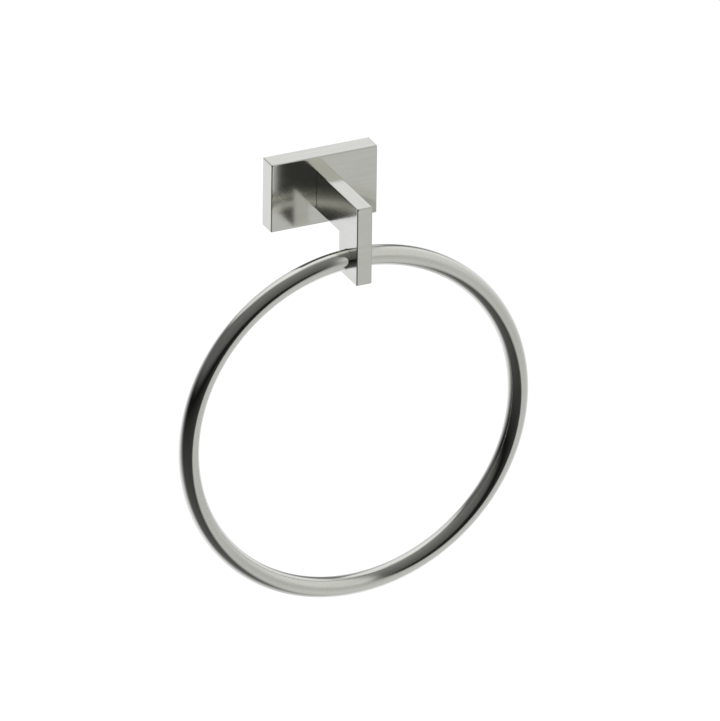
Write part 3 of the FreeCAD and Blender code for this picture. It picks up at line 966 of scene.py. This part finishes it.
def zinc_plate():
    """Electroplated zinc: a cloudy bloom over fine rolling lines. More bloom is rougher."""
    paint = Paint(bpy.data.materials.new("bright_zinc"))
    place = paint.node("ShaderNodeTexCoord", {}, {}, "Object")
    bloom = paint.noise(paint.scale(place, ZINC_CLOUDS), 4)
    lines = paint.noise(paint.scale(place, ROLLING_LINES), 2)
    marks = 0.6 * bloom + 0.4 * lines
    shade = paint.mix(paint.smooth(marks, 0.35, 0.68), ZINC_DARK, ZINC_LIGHT)
    metal_surface(paint, shade, 0.24 + 0.22 * bloom, marks, ZINC_MARK_DEPTH)
    return paint.owner


bright_zinc = zinc_plate()
print(f"zinc: {len(bright_zinc.node_tree.nodes)} nodes")

# %% [markdown]
# Behind the cover sits a bracket that is screwed to the wall. It was pressed from sheet steel: a flat base
# with two level slots, and a flange bent forward along its top and its foot. A bent sheet with a Solidify
# modifier could make it too. Here its section, with the bends as true arcs, is carried along its width.

# %% The wall bracket
SHEET = 2 * MM
BEND_INSIDE = 0.5 * MM
SHEET_EDGE = 0.15 * MM
SHEET_MARGIN = 0.3 * MM
SLOT_INSET = 8 * MM
SLOT_WIDTH = 4.5 * MM
SLOT_LENGTH = 7 * MM
LOCK_HOLE = 3 * MM


def bracket_rows():
    """The channel's section, carried from end to end. An outer bend has the inner radius plus the sheet."""
    back, tip = bracket_high[1], bracket_low[1]
    foot, top = bracket_low[2], bracket_high[2]
    base = back - SHEET
    section = [(tip, foot), (back, foot), (back, top), (tip, top), (tip, top - SHEET),
               (base, top - SHEET), (base, foot + SHEET), (tip, foot + SHEET)]
    bend = BEND_INSIDE + SHEET
    radii = np.array([0, bend, bend, 0, 0, BEND_INSIDE, BEND_INSIDE, 0])
    sheet_down, sheet_in = rounding(SHEET_EDGE)
    half = bracket_high[0]
    insets = np.r_[sheet_in, sheet_in[::-1]]
    across = np.r_[sheet_down - half, half - sheet_down[::-1]]
    return carried_across(rounded_outline(section, radii, insets, SHEET_MARGIN), across)


def slot_outline(middle):
    """A level slot round a place on X: a circle whose two halves are moved apart."""
    slot = circle((middle, 0, 0), SLOT_WIDTH / 2, 1)
    slot[:, 0] += np.sign(slot[:, 0] - middle) * (SLOT_LENGTH - SLOT_WIDTH) / 2
    return slot


def bracket_shell():
    """The carried section, closed at both ends, with two slots in its base and a hole in its lower flange."""
    back, foot = bracket_high[1], bracket_low[2]
    base = back - SHEET
    open_cells = [(ARC_STEPS - 1, straight(corner)) for corner in (0, 1, 5, 6)]
    shell = Shell()
    numbers = shell.sheet(bracket_rows(), 0, open_cells)
    shell.cap(numbers[0])
    shell.cap(numbers[-1])
    foot_under, base_back, base_front, foot_over = (shell.cell(numbers, *cell) for cell in open_cells)
    slots = [slot_outline(side * (bracket_high[0] - SLOT_INSET)) for side in (-1, 1)]
    shell.pierce(base_back, base_front, slots, 1, back, base)
    hole = circle((0, LOCK_SCREW_DEPTH, 0), LOCK_HOLE / 2, 2)
    shell.pierce(foot_under, foot_over, [hole], 2, foot, foot + SHEET)
    return shell


make_piece("bracket_pressing", bracket_shell(), None, bright_zinc, "wall_bracket")

# %% [markdown]
# Four small screws hold it all together. A Screw modifier on a small profile could make the thread, but that
# leaves the shank inside it. Here the groove is a wave of the height plus the angle in the shank's own skin,
# which makes a true helix.

# %% Socket and thread
SCREW_RADIUS = 2 * MM
PITCH = 0.7 * MM
THREAD_DEPTH = 0.38 * MM
CREST = 1 / 8
FLANKS = 5 / 8
ROWS_PER_PITCH = 12
SCREW_COLUMNS = 48
column_angle = np.linspace(0, math.tau, SCREW_COLUMNS, endpoint=False)


def hexagon(flats):
    """A hexagon's radius at each column: half its width over flats, divided by the cosine of the angle from
    the nearest flat's middle."""
    sixth = math.tau / 6
    return flats / 2 / np.cos(column_angle % sixth - sixth / 2)


def thread(start, end):
    """Places and radii of a threaded length. The groove is a triangle wave of place / pitch + turn, cut off
    flat at the crest and at the root, and it fades out over one pitch at both ends."""
    count = int((end - start) / PITCH * ROWS_PER_PITCH) + 1
    place = np.linspace(start, end, count)
    phase = place[:, None] / PITCH + column_angle / math.tau
    wave = np.abs(2 * (phase % 1) - 1)
    groove = np.clip((wave - CREST) / FLANKS, 0, 1)
    fade = np.clip(np.minimum(place - start, end - place) / PITCH, 0, 1)
    return place, SCREW_RADIUS - THREAD_DEPTH * groove * fade[:, None]


print(f"thread: {SCREW_RADIUS * 2 / MM:.0f} mm across with a pitch of {PITCH / MM} mm")

# %% [markdown]
# Each screw is one turned skin: from the middle of the socket's floor up its six walls, across the head,
# down the shank and round the tip. The two arm screws have low round heads. The other two are headless, and
# one of them has a dog, a plain pin that reaches into the bracket.

# %% A screw's skin
HEAD_RADIUS = 3.5 * MM
HEAD_HEIGHT = 2.8 * MM
HEAD_BEVEL = 0.25 * MM
TIP_BEVEL = 0.4 * MM
SMALL_SOCKET = 2 * MM


def screw_rows(length, socket=SMALL_SOCKET, socket_depth=SMALL_SOCKET, head=False, dog=None):
    """Pairs of place and radius, from the socket's floor to the tip. A dog is its radius and its length."""
    first_bevel = HEAD_BEVEL if head else TIP_BEVEL / 2
    top_radius = HEAD_RADIUS if head else SCREW_RADIUS
    rows = [(socket_depth, 0), (socket_depth, hexagon(socket)), (0, hexagon(socket)),
            (0, top_radius - first_bevel), (first_bevel, top_radius)]
    start = HEAD_HEIGHT if head else 2 * first_bevel
    if head:
        rows += [(HEAD_HEIGHT, HEAD_RADIUS), (HEAD_HEIGHT, SCREW_RADIUS)]
    dog_radius, dog_length = dog or (0, 0)
    end = length - dog_length - TIP_BEVEL
    rows += list(zip(*thread(start, end)))
    rows.append((end + TIP_BEVEL, SCREW_RADIUS - TIP_BEVEL))
    if dog:
        rows += [(end + TIP_BEVEL, dog_radius), (length - TIP_BEVEL / 2, dog_radius),
                 (length, dog_radius - TIP_BEVEL / 2)]
    return rows + [(length, 0)]


def turned_shell(rows, origin, axis, direction):
    """Rows of place and radius turned about an axis: radius times cosine and sine on the other two axes."""
    place = np.array([row[0] for row in rows])
    radius = np.stack([np.broadcast_to(row[1], SCREW_COLUMNS) for row in rows])
    points = np.zeros((len(rows), SCREW_COLUMNS, 3))
    points[..., axis] = direction * place[:, None]
    points[..., (axis + 1) % 3] = radius * np.cos(column_angle)
    points[..., (axis + 2) % 3] = radius * np.sin(column_angle)
    shell = Shell()
    shell.sheet(points + origin)
    return shell


def turned_grain(origin, axis):
    """Turning marks run round the screw: length round the shank, place along it, distance from it."""
    def grain(points, normals):
        around = points - origin
        first, second = around[:, (axis + 1) % 3], around[:, (axis + 2) % 3]
        length = np.arctan2(second, first) * SCREW_RADIUS
        return np.stack([length, around[:, axis], np.hypot(first, second)], axis=1)
    return grain


# %% [markdown]
# Screws in a damp room are stainless steel. It is greyer than nickel and, straight from the lathe, rougher
# and more finely marked. The function for brushed metal serves here too.

# %% The four screws
STAINLESS = (0.56, 0.555, 0.55)
ARM_SOCKET = 2.5 * MM
ARM_SOCKET_DEPTH = 1.6 * MM
DOG = (1.25 * MM, 2 * MM)
stainless = brushed_metal("stainless", STAINLESS, 0.3, 2e-6, fine=5200.0, coarse=1500.0)


def make_screw(name, node, origin, axis, direction, **form):
    """One screw, its axis along X, Y or Z as 0, 1 or 2."""
    origin = np.array(origin)
    shell = turned_shell(screw_rows(**form), origin, axis, direction)
    make_piece(name, shell, turned_grain(origin, axis), stainless, node, flat_faced=False)


screw_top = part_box("arm_screws")[1][1]
screw_length = screw_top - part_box("arm_screws")[0][1]
for name, height in zip(("upper_arm_screw", "lower_arm_screw"), ARM_SCREW_HEIGHTS):
    make_screw(name, "arm_screws", (0, screw_top, height), 1, -1, length=screw_length,
               socket=ARM_SOCKET, socket_depth=ARM_SOCKET_DEPTH, head=True)

lock_low, lock_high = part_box("locking_screw")
make_screw("lock_screw", "locking_screw", (0, LOCK_SCREW_DEPTH, lock_low[2]), 2, 1,
           length=lock_high[2] - lock_low[2], dog=DOG)

clamp_low, clamp_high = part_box("ring_screw")
make_screw("clamp_screw", "ring_screw", (0, bore_depth, clamp_low[2]), 2, 1,
           length=clamp_high[2] - clamp_low[2])
